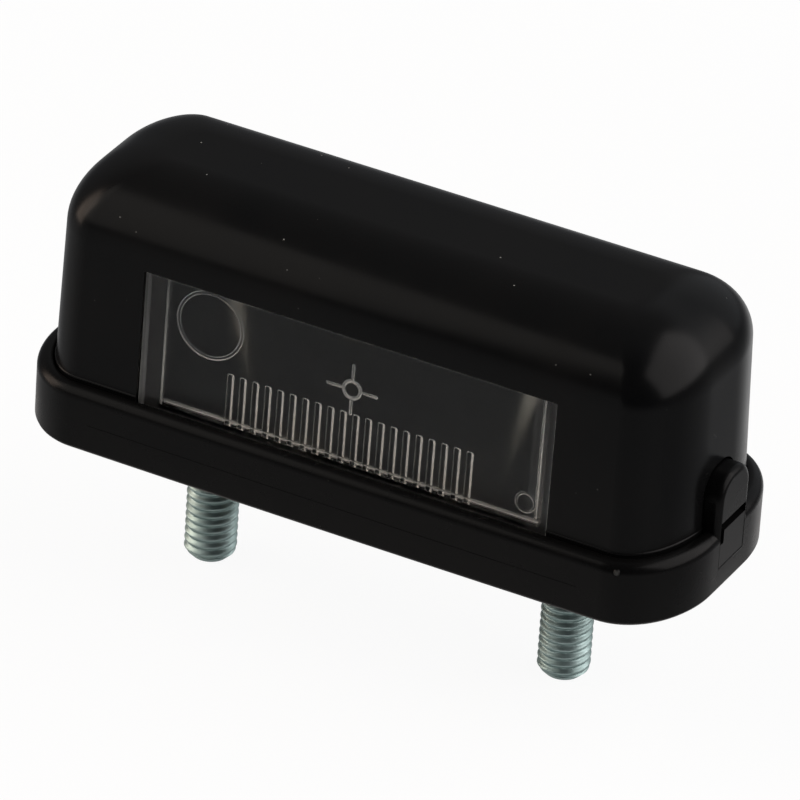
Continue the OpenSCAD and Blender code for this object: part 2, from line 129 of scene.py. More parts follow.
# Bead along the plate's foot: distance from the rim at the left and right, height, width and relief
FOOT_BEAD_LEFT, FOOT_BEAD_RIGHT, FOOT_BEAD_Z, FOOT_BEAD_W, FOOT_BEAD_DEEP = 0.7, 0.1, -0.08, 0.46, 0.42

# Studs: place, thread, length and tip, relief under the tray, collar and hexagonal head
STUD_X, STUD_R, THREAD_DEEP, STUD_LEN, STUD_TIP = 22.5, 3.0, 0.34, -BOX_LOW[2], 0.9
RELIEF_H, RELIEF_R, COLLAR_R, COLLAR_EDGE = 0.6, 2.4, 3.5, 0.15
HEAD_AF, HEAD_H, HEAD_EDGE = 10.0, 3.15, 0.35

# Boss that holds a head: gap, wall and rise above the head
STUD_GAP, BOSS_WALL, BOSS_RISE = 0.15, 1.2, 0.05

# Rivets and terminals: place, well and hole in the tray, and the slot for a terminal
FIX_X, RIVET_Y, WELL_R, WELL_H, RIVET_HOLE_R = 9.5, -1.5, 3.0, 0.7, 1.6
SLOT_HALF, SLOT_Y0, SLOT_Y1 = 3.25, 5.9, 6.9

# Rests under the lens's flange
REST_X, REST_HALF, REST_DEEP, REST_TOP = 18, 1.5, 2, 5.258

# Parting groove along the tray's long walls: half length, depth, height, steps and reach of its cutter
SEAM_HALF, SEAM_DEEP, SEAM_Z0, SEAM_Z1, SEAM_STEPS, SEAM_OUT = 30.5, 0.04, 3.66, 3.80, 24, 0.1

# Ejector discs on the tray's underside, and the gate mark on its wall with a lighter spot on it, partly
# pale sheared plastic and partly a painted highlight
DISC_R, DISC_DEEP, DISCS = 2.2, 0.12, ((-33, 0), (33, 0), (0, -9.5), (0, 10))
GATE, GATE_OUT, GATE_SINK = (35.05, -15.22, 6.8), (0.307, -0.952, 0.2), 0.08
GATE_R, GATE_H, GATE_BLUSH_AND_HIGHLIGHT_R = 0.42, 0.34, 0.36

# The bulb's axis
BULB_Y, BULB_Z = -0.3, 21.0


def piece(name, verts, faces):
    """A mesh object, still in millimetres."""
    mesh = bpy.data.meshes.new(name)
    mesh.from_pydata([tuple(v) for v in verts], [], faces)
    obj = bpy.data.objects.new(name, mesh)
    bpy.context.collection.objects.link(obj)
    return obj


def apply(obj):
    """Puts the modifiers' result in the mesh."""
    graph = bpy.context.evaluated_depsgraph_get()
    mesh = bpy.data.meshes.new_from_object(obj.evaluated_get(graph))
    old = obj.data
    obj.modifiers.clear()
    obj.data = mesh
    mesh.name = old.name
    bpy.data.meshes.remove(old)
    return obj


def tidy(obj, near=NEAR):
    """Joins double points and turns the faces outward."""
    bm = bmesh.new()
    bm.from_mesh(obj.data)
    bmesh.ops.remove_doubles(bm, verts=bm.verts, dist=near)
    bmesh.ops.recalc_face_normals(bm, faces=bm.faces)
    bm.to_mesh(obj.data)
    bm.free()
    return obj


def combine(obj, other, how):
    """Exact boolean, after which the other object is gone."""
    mod = obj.modifiers.new("cut", "BOOLEAN")
    mod.operation = how
    mod.solver = "EXACT"
    mod.object = other
    apply(obj)
    mesh = other.data
    bpy.data.objects.remove(other)
    bpy.data.meshes.remove(mesh)
    return obj


def add(obj, other):
    return combine(obj, other, "UNION")


def cut(obj, other):
    return combine(obj, other, "DIFFERENCE")


def join(parts):
    """One object with all the meshes, side by side or overlapping."""
    bm = bmesh.new()
    for part in parts:
        bm.from_mesh(part.data)
    for part in parts[1:]:
        mesh = part.data
        bpy.data.objects.remove(part)
        bpy.data.meshes.remove(mesh)
    bm.to_mesh(parts[0].data)
    bm.free()
    return parts[0]


def bevel(obj, width, segments):
    """Rounds the sharp edges."""
    mod = obj.modifiers.new("edge", "BEVEL")
    mod.width = width
    mod.segments = segments
    mod.limit_method = "ANGLE"
    mod.angle_limit = math.radians(SHARP)
    mod.use_clamp_overlap = True
    mod.miter_outer = "MITER_ARC"
    return apply(obj)


def finish_piece(obj, material, node):
    """Scales the piece to metres, smooths and dresses it, and hangs it on the frame in the node's place."""
    obj.data.transform(Matrix.Scale(MM, 4))
    for poly in obj.data.polygons:
        poly.use_smooth = True
    obj.data.set_sharp_from_angle(angle=math.radians(SHARP))
    mod = obj.modifiers.new("shade", "WEIGHTED_NORMAL")
    mod.keep_sharp = True
    mod.weight = 60
    apply(obj)
    obj.data.materials.clear()
    obj.data.materials.append(material)
    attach(obj, "root")
    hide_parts(node)
    return obj


def skin(name, verts, rows, near=NEAR):
    """Closed skin over rows of points, each row a ring, with a face at both ends."""
    count = len(verts) // rows
    faces = []
    for k in range(rows - 1):
        for i in range(count):
            j = (i + 1) % count
            faces.append((k * count + i, k * count + j, (k + 1) * count + j, (k + 1) * count + i))
    faces.append(tuple(reversed(range(count))))
    faces.append(tuple(range((rows - 1) * count, rows * count)))
    return tidy(piece(name, verts, faces), near)


def turned_faces(steps, count, closed):
    """Faces between a profile of count points and its next place, steps times round an axis."""
    faces = []
    for i in range(steps):
        j = (i + 1) % steps
        for k in range(count if closed else count - 1):
            m = (k + 1) % count
            faces.append((i * count + k, j * count + k, j * count + m, i * count + m))
    return faces


def box(x0, x1, y0, y1, z0, z1):
    verts = [(x, y, z) for z in (z0, z1) for y in (y0, y1) for x in (x0, x1)]
    faces = [(0, 2, 3, 1), (4, 5, 7, 6), (0, 1, 5, 4), (2, 6, 7, 3), (0, 4, 6, 2), (1, 3, 7, 5)]
    return piece("box", verts, faces)


def rod(r, z0, z1, x=0.0, y=0.0, steps=64):
    """Upright rod."""
    verts = []
    for z in (z0, z1):
        for i in range(steps):
            a = 2 * math.pi * (i + 0.5) / steps
            verts.append((x + r * math.cos(a), y + r * math.sin(a), z))
    return skin("rod", verts, 2)


def prism(points, z0, z1):
    """Upright prism over a plan outline."""
    return skin("prism", [(x, y, z) for z in (z0, z1) for x, y in points], 2)


def hexagon(x, flat):
    """Plan outline of a hexagon whose flats are the given distance from its middle."""
    reach = flat / math.cos(math.pi / 6)
    corners = [math.radians(a) for a in range(30, 390, 60)]
    return [(x + reach * math.cos(a), reach * math.sin(a)) for a in corners]


def move(obj, matrix):
    """Transforms the mesh, and keeps its faces outward in a mirror image."""
    obj.data.transform(matrix)
    if matrix.determinant() < 0:
        obj.data.flip_normals()
    return obj


def turned(obj, degrees):
    return move(obj, Matrix.Rotation(math.radians(degrees), 4, "Z"))


def plan_ring(a, b, rx, ry, z, steps, bulge=0.0):
    """Rectangle of half sizes a and b with oval corners, its sides bulging outward."""
    spans = 10
    plan = []
    for k, (sx, sy) in enumerate(((1, -1), (1, 1), (-1, 1), (-1, -1))):
        for i in range(steps + 1):
            t = math.radians(-90 + 90 * k + 90 * i / steps)
            plan.append((sx * (a - rx) + rx * math.cos(t), sy * (b - ry) + ry * math.sin(t)))
        if k % 2:
            plan += [(sx * (a - rx) * (1 - 2 * i / spans), sy * b) for i in range(1, spans)]
        else:
            plan += [(sx * a, sy * (b - ry) * (1 - 2 * i / spans)) for i in range(1, spans)]
    ring = []
    for x, y in plan:
        ring.append((x * (1 - END_BULGE / a * (y / b) ** 2), y * (1 + bulge / b * (1 - (x / a) ** 2)), z))
    return ring


def loft(name, rings):
    """Closed skin over rings of equal count."""
    return skin(name, [p for ring in rings for p in ring], len(rings))


def lathe(profile, steps):
    """Turns (radius, height) points about Z. A profile that starts off the axis closes on itself."""
    closed = profile[0][0] > 0
    verts = []
    for i in range(steps):
        a = 2 * math.pi * i / steps
        for r, z in profile:
            verts.append((r * math.cos(a), r * math.sin(a), z))
    return tidy(piece("lathe", verts, turned_faces(steps, len(profile), closed)))


def arc(cx, cy, r, a0, a1, steps):
    """Points on an arc, in degrees."""
    out = []
    for i in range(steps + 1):
        a = math.radians(a0 + (a1 - a0) * i / steps)
        out.append((cx + r * math.cos(a), cy + r * math.sin(a)))
    return out


def tab_outline(w, top, r, low):
    """A latch tab's outline in Y and Z, with rounded top corners."""
    right = arc(w / 2 - r, top - r, r, 0, 90, 14)
    left = arc(-w / 2 + r, top - r, r, 90, 180, 14)
    return [(-w / 2, low), (w / 2, low)] + right + left


def end_prism(outline, x0, x1):
    """Prism along X over an outline in Y and Z."""
    obj = prism(outline, x0, x1)
    return move(obj, Matrix(((0, 0, 1, 0), (1, 0, 0, 0), (0, 1, 0, 0), (0, 0, 0, 1))))


def tray_shell():
    """The tray's wall and floor, lofted up the outside, over the rim and down the inside."""
    outer = FOOT + [(RIM_R - r, z) for r, z in arc(0, BASE_H - RIM_R, RIM_R, 0, 90, 12)]
    inner = [(WALL - RIM_IN_R, BASE_H), (WALL - RIM_IN_MID, BASE_H - RIM_IN_MID),
             (WALL, BASE_H - RIM_IN_R), (WALL, FLOOR)]
    a, b = BASE_L / 2, BASE_W / 2
    rings = []
    for inset, z in outer:
        rx, ry = RIM_X - inset, RIM_Y - inset
        rings.append(plan_ring(a - inset, b - BULGE - inset, rx, ry, z, CORNER_STEPS, BULGE))
    for inset, z in inner:
        rx, ry = RIM_IN_X - inset, RIM_IN_Y - inset
        rings.append(plan_ring(a - inset, b - inset, rx, ry, z, CORNER_STEPS))
    return loft("tray", rings)


def gate_mark():
    """Small rounded pip left by the moulding gate."""
    bow = [(GATE_R * math.cos(a), GATE_H * math.sin(a)) for a in (-1.2, -0.8, -0.4, 0, 0.4, 0.8, 1.2)]
    pip = lathe([(0.0, -GATE_H)] + bow + [(0.0, GATE_H)], 20)
    out = Vector(GATE_OUT).normalized()
    turn = out.to_track_quat("Z", "Y").to_matrix().to_4x4()
    return move(pip, Matrix.Translation(Vector(GATE) - out * GATE_SINK) @ turn)


def seam_outline(side):
    """Plan outline of the cutter for the groove along one long wall."""
    line = []
    for k in range(SEAM_STEPS + 1):
        x = (k / (SEAM_STEPS / 2) - 1) * SEAM_HALF
        bow = BULGE * (1 - (x / (BASE_L / 2)) ** 2)
        line.append((x, side * (BASE_W / 2 - BULGE + bow)))
    inner = [(x, y - side * SEAM_DEEP) for x, y in line]
    outer = [(x, y + side * SEAM_OUT) for x, y in reversed(line)]
    return inner + outer


def make_tray():
    """Tray with tabs, bosses and lens rests, its openings, and the marks of its mould."""
    tray = tray_shell()
    for turn in (0, 180):
        tab = end_prism(tab_outline(TAB_W, TAB_TOP, TAB_R, FLOOR - SINK), TAB_IN, BASE_L / 2)
        add(tray, turned(bevel(tab, TAB_EDGE, 6), turn))
    front = -BASE_W / 2 + WALL + GROOVE + HOOD_WALL
    for s in (-1, 1):
        boss = hexagon(s * STUD_X, HEAD_AF / 2 + STUD_GAP + BOSS_WALL)
        add(tray, prism(boss, FLOOR - SINK, FLOOR + HEAD_H + BOSS_RISE))
        rest = s * REST_X
        add(tray, box(rest - REST_HALF, rest + REST_HALF, front, front + REST_DEEP, FLOOR - SINK, REST_TOP))
    for s in (-1, 1):
        cut(tray, prism(hexagon(s * STUD_X, HEAD_AF / 2 + STUD_GAP), FLOOR, FLOOR + HEAD_H + CUT))
        cut(tray, rod(COLLAR_R + STUD_GAP, -CUT, FLOOR + CUT, s * STUD_X))
        cut(tray, rod(WELL_R, -CUT, WELL_H, s * FIX_X, RIVET_Y))
        cut(tray, rod(RIVET_HOLE_R, -CUT, FLOOR + CUT, s * FIX_X, RIVET_Y))
        cut(tray, box(s * FIX_X - SLOT_HALF, s * FIX_X + SLOT_HALF, SLOT_Y0, SLOT_Y1, -CUT, FLOOR + CUT))
    bevel(tray, TRAY_EDGE, 2)
    for turn in (0, 180):
        opening = box(TAB_IN - CUT, BASE_L / 2 + CUT, -LATCH_W / 2, LATCH_W / 2, LATCH_Z0, LATCH_Z1)
        cut(tray, turned(opening, turn))
    for s in (-1, 1):
        cut(tray, prism(seam_outline(s), SEAM_Z0, SEAM_Z1))
    for x, y in DISCS:
        cut(tray, rod(DISC_R, -CUT, DISC_DEEP, x, y, 48))
    return add(tray, gate_mark())


def hood_rings(shift, low, with_bead=False):
    """Rings up the hood's wall and over its top, all moved inward by shift."""
    zc = HOOD_TOP - TOP_HIGH
    lean = math.tan(LEAN)
    levels = [((low - BASE_H) * lean, low)]
    if with_bead:
        for a in range(-80, 81, 20):
            z = BASE_H + HOOD_BEAD_Z + HOOD_BEAD_H * math.sin(math.radians(a))
            levels.append(((z - BASE_H) * lean - HOOD_BEAD_T * math.cos(math.radians(a)), z))
    high, deep = TOP_HIGH - shift, TOP_DEEP - shift
    for k in range(CROWN_STEPS + 1):
        a = math.radians(90 * k / CROWN_STEPS)
        levels.append(((zc - BASE_H) * lean + deep * (1 - math.cos(a)), zc + high * math.sin(a)))
    full = levels[-1][0]
    rings = []
    for inset, z in levels:
        share = max(inset, 0) / full
        rx = (OVAL_X - shift) * (1 - share) + CROWN_X * share - min(inset, 0)
        ry = (OVAL_Y - shift) * (1 - share) + CROWN_Y * share - min(inset, 0)
        a, b = HOOD_L / 2 - shift - inset, HOOD_W / 2 - shift - inset
        rings.append(plan_ring(a, b, rx, ry, z, HOOD_CORNER_STEPS))
    return rings


def on_front():
    """Frame of the hood's front face, its origin at the middle of the window's foot."""
    return Matrix.Translation((0, -HOOD_W / 2, BASE_H)) @ Matrix.Rotation(-LEAN, 4, "X")


def make_hood():
    """Hood with its hollow, window and tab pockets, and then its catches and lens rails."""
    hood = loft("hood", hood_rings(0, SKIRT_Z, True))
    cut(hood, loft("inside", hood_rings(HOOD_WALL, SKIRT_Z - CUT)))
    cut(hood, move(box(-WIN_W / 2, WIN_W / 2, -CUT, HOOD_WALL + CUT, -BASE_H, WIN_H), on_front()))
    for turn in (0, 180):
        outline = tab_outline(TAB_W + 2 * TAB_GAP, TAB_TOP + TAB_GAP, TAB_R + TAB_GAP, 0)
        cut(hood, turned(end_prism(outline, POCKET_X, BASE_L / 2 + CUT), turn))
    x0, x1, y1 = POCKET_X - SINK, BASE_L / 2 - CATCH_SET, LATCH_W / 2 - CATCH_NEAR
    for turn in (0, 180):
        lower = box(x0, x1, -LATCH_W / 2 + CATCH_GAP, y1, LATCH_Z0 + CATCH_NEAR, CATCH_Z)
        add(hood, turned(lower, turn))
        add(hood, turned(box(x0, x1, -CATCH_W / 2, y1, CATCH_Z - SINK, CATCH_TOP), turn))
    for s in (-1, 1):
        place = on_front() @ Matrix.Scale(s, 4, (1, 0, 0))
        add(hood, move(box(*RAIL_WEB, *RAIL_Z), place))
        add(hood, move(box(*RAIL_LIP, *RAIL_Z), place))
    return tidy(hood, NEAR_HOOD)


def ring_bar(x, z, d, w, t):
    """A ring bead at a point of the lens frame, half sunk in the plate's back."""
    r = d / 2 - w / 2
    steps, around = 72, 10
    verts = []
    for i in range(steps):
        a = 2 * math.pi * i / steps
        for k in range(around):
            b = 2 * math.pi * (k + 0.5) / around
            rr = r + w / 2 * math.cos(b)
            verts.append((x + rr * math.cos(a), PANE_BACK + t * math.sin(b), z + rr * math.sin(a)))
    return tidy(piece("ring", verts, turned_faces(steps, around, True)))


def bead(x0, z0, x1, z1, w, t):
    """A bead between two points of the lens frame, half sunk in the plate's back, with rounded ends."""
    line = Vector((x1 - x0, 0, z1 - z0))
    along = line.normalized()
    side = Vector((-along.z, 0, along.x))
    steps, caps = 16, 5
    rows = []
    for i in range(caps):
        a = math.radians(-90 + 90 * (i + 0.35) / (caps + 0.35))
        rows.append((w / 2 * math.sin(a), math.cos(a)))
    rows += [(0.0, 1.0), (line.length, 1.0)]
    for i in reversed(range(caps)):
        a = math.radians(90 - 90 * (i + 0.35) / (caps + 0.35))
        rows.append((line.length + w / 2 * math.sin(a), math.cos(a)))
    verts = []
    for reach, scale in rows:
        for k in range(steps):
            b = 2 * math.pi * (k + 0.5) / steps
            p = Vector((x0, PANE_BACK, z0)) + along * reach + side * (w / 2 * scale * math.cos(b))
            p.y += t * scale * math.sin(b)
            verts.append(p)
    return skin("bead", verts, len(rows))


def bar(outline, depth, slopes):
    """A raised bar on the back of the plate.

    Its crest is drawn in by slopes (left, right, top), and the outline is in the lens frame.
    """
    left, right, top = slopes
    xs = [x for x, z in outline]
    zs = [z for x, z in outline]
    x0, x1, z0, z1 = min(xs), max(xs), min(zs), max(zs)
    crest = []
    for x, z in outline:
        u = (x - x0) / (x1 - x0)
        v = (z - z0) / (z1 - z0)
        crest.append((x + left * (1 - u) - right * u, z - top * v))
    verts = [(x, PANE_BACK - BAR_SINK, z) for x, z in outline]
    verts += [(x, PANE_BACK, z) for x, z in outline]
    verts += [(x, PANE_BACK + depth, z) for x, z in crest]
    return skin("bar", verts, 3, NEAR_FINE)


def lens_pocket(x, z0, z1):
    """What the turned-in rim of the lens encloses, with the slopes to the plate."""
    levels = (
        (RIM_SLOPE_LEFT, RIM_SLOPE_RIGHT, PANE_BACK),
        (0.0, 0.0, PANE_BACK + RIM_SLOPE_DEEP),
        (0.0, 0.0, LENS_BACK + CUT),
    )
    verts = []
    for left, right, y in levels:
        x0, x1 = -x + left, x - right
        verts += [(x0, y, z0), (x1, y, z0), (x1, y, z1), (x0, y, z1)]
    return skin("pocket", verts, len(levels))


def flute_outline(x):
    """A flute's outline with rounded top corners."""
    top = arc(x + FLUTE_HALF - FLUTE_R_RIGHT, FLUTE_TOP - FLUTE_R_RIGHT, FLUTE_R_RIGHT, 0, 90, 5)
    top += arc(x - FLUTE_HALF + FLUTE_R_LEFT, FLUTE_TOP - FLUTE_R_LEFT, FLUTE_R_LEFT, 90, 180, 4)
    return [(x - FLUTE_HALF, FLUTE_FOOT), (x + FLUTE_HALF, FLUTE_FOOT)] + top


def make_lens():
    """Plate with flange and rim, and the marks on its back, each added by itself."""
    half, high = WIN_W / 2 - LENS_GAP, WIN_H - LENS_GAP
    lens = box(-half, half, LENS_FACE, LENS_BACK, LENS_LOW, high)
    flange, flange_top = WIN_W / 2 + FLANGE_LAP, WIN_H + FLANGE_LAP - LENS_GAP
    add(lens, box(-flange, flange, FLANGE_Y, LENS_BACK, LENS_LOW, flange_top))
    bevel(lens, LENS_EDGE, 3)
    rim_x, rim_z0, rim_z1 = half - LENS_RIM_SIDE, LENS_LOW + LENS_RIM_FOOT, high - LENS_RIM_TOP
    cut(lens, lens_pocket(rim_x, rim_z0, rim_z1))
    x0, x1, z0, z1 = rim_x - SIDE_FAR, rim_x - SIDE_NEAR, SIDE_FOOT, rim_z1 - SIDE_NEAR
    add(lens, bar([(x0, z0), (x1, z0), (x1, z1), (x0, z1)], SIDE_DEEP, SIDE_SLOPES))
    for i in range(FLUTES):
        outline = flute_outline((i - (FLUTES - 1) / 2) * FLUTE_PITCH)
        add(lens, bar(outline, FLUTE_DEEP, FLUTE_SLOPES))
    start, end = (-rim_x + FOOT_BEAD_LEFT, FOOT_BEAD_Z), (rim_x - FOOT_BEAD_RIGHT, FOOT_BEAD_Z)
    add(lens, bead(*start, *end, FOOT_BEAD_W, FOOT_BEAD_DEEP))
    for ring in RINGS:
        add(lens, ring_bar(*ring))
    for c, s in ((1, 0), (0, 1), (-1, 0), (0, -1)):
        start, end = (TICK_FROM * c, TICK_Z + TICK_FROM * s), (TICK_TO * c, TICK_Z + TICK_TO * s)
        add(lens, bead(*start, *end, TICK_W, TICK_DEEP))
    return move(lens, on_front())


def thread_height(u):
    """Height of a metric thread over one pitch, from 0 at the root to 1 at the crest."""
    return (0.5 - 0.5 * math.cos(2 * math.pi * u)) ** 0.85


def make_stud(x):
    """Thread, shank and head, which overlap."""
    around, rows_per_pitch, lap = 72, 14, 0.1
    neck, runout = RELIEF_R + 0.05, 1.6
    z0, z1 = -STUD_LEN, -RELIEF_H
    rows = int((z1 - z0) * rows_per_pitch)
    verts = []
    for k in range(rows + 1):
        z = z0 + (z1 - z0) * k / rows
        for i in range(around):
            a = 2 * math.pi * i / around
            thread_r = STUD_R - THREAD_DEEP + THREAD_DEEP * thread_height(z - i / around)
            tip_r = STUD_R - STUD_TIP + (z - z0)
            neck_r = neck + (z1 - z) * runout
            r = min(thread_r, tip_r, neck_r)
            verts.append((x + r * math.cos(a), r * math.sin(a), z))
    thread = skin("stud", verts, rows + 1, NEAR_FINE)
    shank = lathe([(0.0, z1 - lap), (RELIEF_R, z1 - lap), (RELIEF_R, 0.0), (COLLAR_R - COLLAR_EDGE, 0.0),
                   (COLLAR_R, COLLAR_EDGE), (COLLAR_R, FLOOR), (0.0, FLOOR)], 56)
    shank = move(shank, Matrix.Translation((x, 0, 0)))
    head = bevel(prism(hexagon(x, HEAD_AF / 2), FLOOR, FLOOR + HEAD_H), HEAD_EDGE, 3)
    return join([thread, shank, head])


def on_bulb_axis(obj):
    """Lays a piece turned about Z along X, on the bulb's axis."""
    turn = Matrix.Rotation(math.radians(90), 4, "Y")
    return move(obj, Matrix.Translation((0, BULB_Y, BULB_Z)) @ turn)


def mirrored(half):
    """A profile from one half of it, given from its end to the middle."""
    return half + [(a, -b) for a, b in reversed(half)]


def make_bulb_glass():
    """Glass tube with drawn-in ends, hollow."""
    r, length, shoulder, neck, t, reach = 5.2, 10.2, 2.6, 3.1, 0.7, 13.3
    outer = [(neck, -reach), (neck, -length)]
    outer += [(r - shoulder + a, -length + shoulder + b) for a, b in arc(0, 0, shoulder, -78, 0, 10)]
    inner = [(neck - t, reach), (neck - t, length - 0.3)]
    inner += [(r - shoulder + a, length - shoulder + b) for a, b in arc(0, 0, shoulder - t, 78, 0, 10)]
    return on_bulb_axis(lathe(mirrored(outer) + mirrored(inner), 72))


def make_cap(side):
    """Metal cap of the bulb: a cup over the glass with a blunt point."""
    z0, z1, tip = 10.7, 14.3, 18.2
    profile = [(0.0, z0 + 2.7), (3.2, z0 + 2.7), (3.2, z0), (3.35, z0), (3.5, z0 + 0.15), (3.5, z1 - 0.5)]
    profile += [(3.38, z1 - 0.1), (3.1, z1 + 0.25), (1.75, tip - 0.35)]
    profile += [(1.55, tip - 0.08), (1.2, tip), (0.0, tip)]
    cap = lathe(profile, 56)
    if side < 0:
        cap = move(cap, Matrix.Rotation(math.pi, 4, "X"))
    return on_bulb_axis(cap)


def wire(points, r, sides):
    """Round wire along points."""
    verts = []
    last = len(points) - 1
    up = Vector((0, 0, 1))
    for i, p in enumerate(points):
        way = (points[min(i + 1, last)] - points[max(i - 1, 0)]).normalized()
        side = way.cross(up).normalized()
        other = side.cross(way)
        for k in range(sides):
            a = 2 * math.pi * k / sides
            verts.append(p + side * (r * math.cos(a)) + other * (r * math.sin(a)))
    return skin("tube", verts, len(points), NEAR_FINE)


def make_filament():
    """Wound coil with straight leads to both caps."""
    centre = Vector((0, BULB_Y, BULB_Z))
    turns, per_turn, half, r = 24, 14, 4.4, 0.36
    count = turns * per_turn
    coil = []
    for i in range(count + 1):
        a = 2 * math.pi * i / per_turn
        coil.append(centre + Vector((-half + 2 * half * i / count, r * math.cos(a), r * math.sin(a))))
    left = [centre + Vector((x, 0, 0)) for x in (-13.4, -9.0, -5.2)]
    right = [centre + Vector((x, 0, 0)) for x in (5.2, 9.0, 13.4)]
    return wire(left + coil + right, 0.085, 7)


def nodes_of(name):
    """A new material, its node tree and shader, and a point's two coordinates: place and normal."""
    material = bpy.data.materials.new(name)
    material.use_nodes = True
    tree = material.node_tree
    coords = tree.nodes.new("ShaderNodeTexCoord")
    return material, tree, tree.nodes["Principled BSDF"], coords.outputs["Object"], coords.outputs["Normal"]


def noise(tree, coords, scale, detail, rough=0.5):
    node = tree.nodes.new("ShaderNodeTexNoise")
    node.inputs["Scale"].default_value = scale
    node.inputs["Detail"].default_value = detail
    node.inputs["Roughness"].default_value = rough
    tree.links.new(coords, node.inputs["Vector"])
    return node.outputs["Fac"]


def remap(tree, value, low, high, to_low, to_high):
    node = tree.nodes.new("ShaderNodeMapRange")
    node.inputs["From Min"].default_value = low
    node.inputs["From Max"].default_value = high
    node.inputs["To Min"].default_value = to_low
    node.inputs["To Max"].default_value = to_high
    tree.links.new(value, node.inputs["Value"])
    return node.outputs["Result"]


def math_node(tree, how, a, b=0.0):
    node = tree.nodes.new("ShaderNodeMath")
    node.operation = how
    for k, value in enumerate((a, b)):
        if isinstance(value, (int, float)):
            node.inputs[k].default_value = value
        else:
            tree.links.new(value, node.inputs[k])
    return node.outputs[0]


def times(tree, a, b):
    return math_node(tree, "MULTIPLY", a, b)


def larger(tree, a, b):
    return math_node(tree, "MAXIMUM", a, b)


def rest_of(tree, share):
    """1 less the share."""
    return math_node(tree, "SUBTRACT", 1.0, share)


def between(tree, share, a, b):
    """From a at share 0 to b at share 1."""
    return math_node(tree, "ADD", times(tree, share, b), times(tree, rest_of(tree, share), a))


def split_axes(tree, vector):
    node = tree.nodes.new("ShaderNodeSeparateXYZ")
    tree.links.new(vector, node.inputs[0])
    return node.outputs


def blend_colour(tree, factor, a, b):
    node = tree.nodes.new("ShaderNodeMix")
    node.data_type = "RGBA"
    tree.links.new(factor, node.inputs[0])
    for k, value in ((6, a), (7, b)):
        if isinstance(value, tuple):
            node.inputs[k].default_value = value
        else:
            tree.links.new(value, node.inputs[k])
    return node.outputs[2]


def mix_shaders(tree, factor, a, b):
    node = tree.nodes.new("ShaderNodeMixShader")
    for k, value in enumerate((factor, a, b)):
        tree.links.new(value, node.inputs[k])
    return node.outputs[0]


def bump(tree, shader, layers):
    """Chained bump layers of (height, strength, distance)."""
    last = None
    for height, strength, distance in layers:
        node = tree.nodes.new("ShaderNodeBump")
        node.inputs["Strength"].default_value = strength
        node.inputs["Distance"].default_value = distance
        tree.links.new(height, node.inputs["Height"])
        if last is not None:
            tree.links.new(last, node.inputs["Normal"])
        last = node.outputs["Normal"]
    tree.links.new(last, shader.inputs["Normal"])


def specks(tree, coords, scale, radius, share):
    """1 on a few small round specks, else 0."""
    node = tree.nodes.new("ShaderNodeTexVoronoi")
    node.inputs["Scale"].default_value = scale
    tree.links.new(coords, node.inputs["Vector"])
    near = remap(tree, node.outputs["Distance"], radius, radius * 0.6, 0.0, 1.0)
    split = tree.nodes.new("ShaderNodeSeparateColor")
    tree.links.new(node.outputs["Color"], split.inputs[0])
    chosen = math_node(tree, "GREATER_THAN", split.outputs[0], 1.0 - share)
    return times(tree, near, chosen)


def spot(tree, coords, centre, radius):
    """1 round a point of the piece given in millimetres, else 0."""
    gap = tree.nodes.new("ShaderNodeVectorMath")
    gap.operation = "DISTANCE"
    tree.links.new(coords, gap.inputs[0])
    gap.inputs[1].default_value = [c * MM for c in centre]
    return remap(tree, gap.outputs["Value"], radius * MM, radius * 0.6 * MM, 0.0, 1.0)


def black_plastic(name, colour, tint, rough_low, rough_high, gate=False):
    """Satin black moulding with a little dust, most of it on faces that look up."""
    material, tree, shader, coords, normal = nodes_of(name)
    cloud = remap(tree, noise(tree, coords, 70, 4), 0.35, 0.65, 0, 1)
    mixed = blend_colour(tree, cloud, colour, tint)
    upward = remap(tree, split_axes(tree, normal)[2], 0.3, 0.9, 0.14, 1.0)
    dust = times(tree, specks(tree, coords, 480, 0.055, 0.3), upward)
    mixed = blend_colour(tree, dust, mixed, (0.22, 0.22, 0.21, 1))
    if gate:
        # The gate pip is lightened, partly as pale sheared plastic and partly as a painted highlight
        mixed = blend_colour(tree, spot(tree, coords, GATE, GATE_BLUSH_AND_HIGHLIGHT_R), mixed, (0.06, 0.06, 0.057, 1))
    tree.links.new(mixed, shader.inputs["Base Color"])
    rough = remap(tree, noise(tree, coords, 140, 5), 0.3, 0.7, rough_low, rough_high)
    tree.links.new(rough, shader.inputs["Roughness"])
    shader.inputs["Specular IOR Level"].default_value = 0.085
    grain = (noise(tree, coords, 5200, 2), 0.05, 0.00003)
    waves = (noise(tree, coords, 40, 1), 0.12, 0.0002)
    bump(tree, shader, [grain, waves, (dust, 0.6, 0.00006)])
    return material


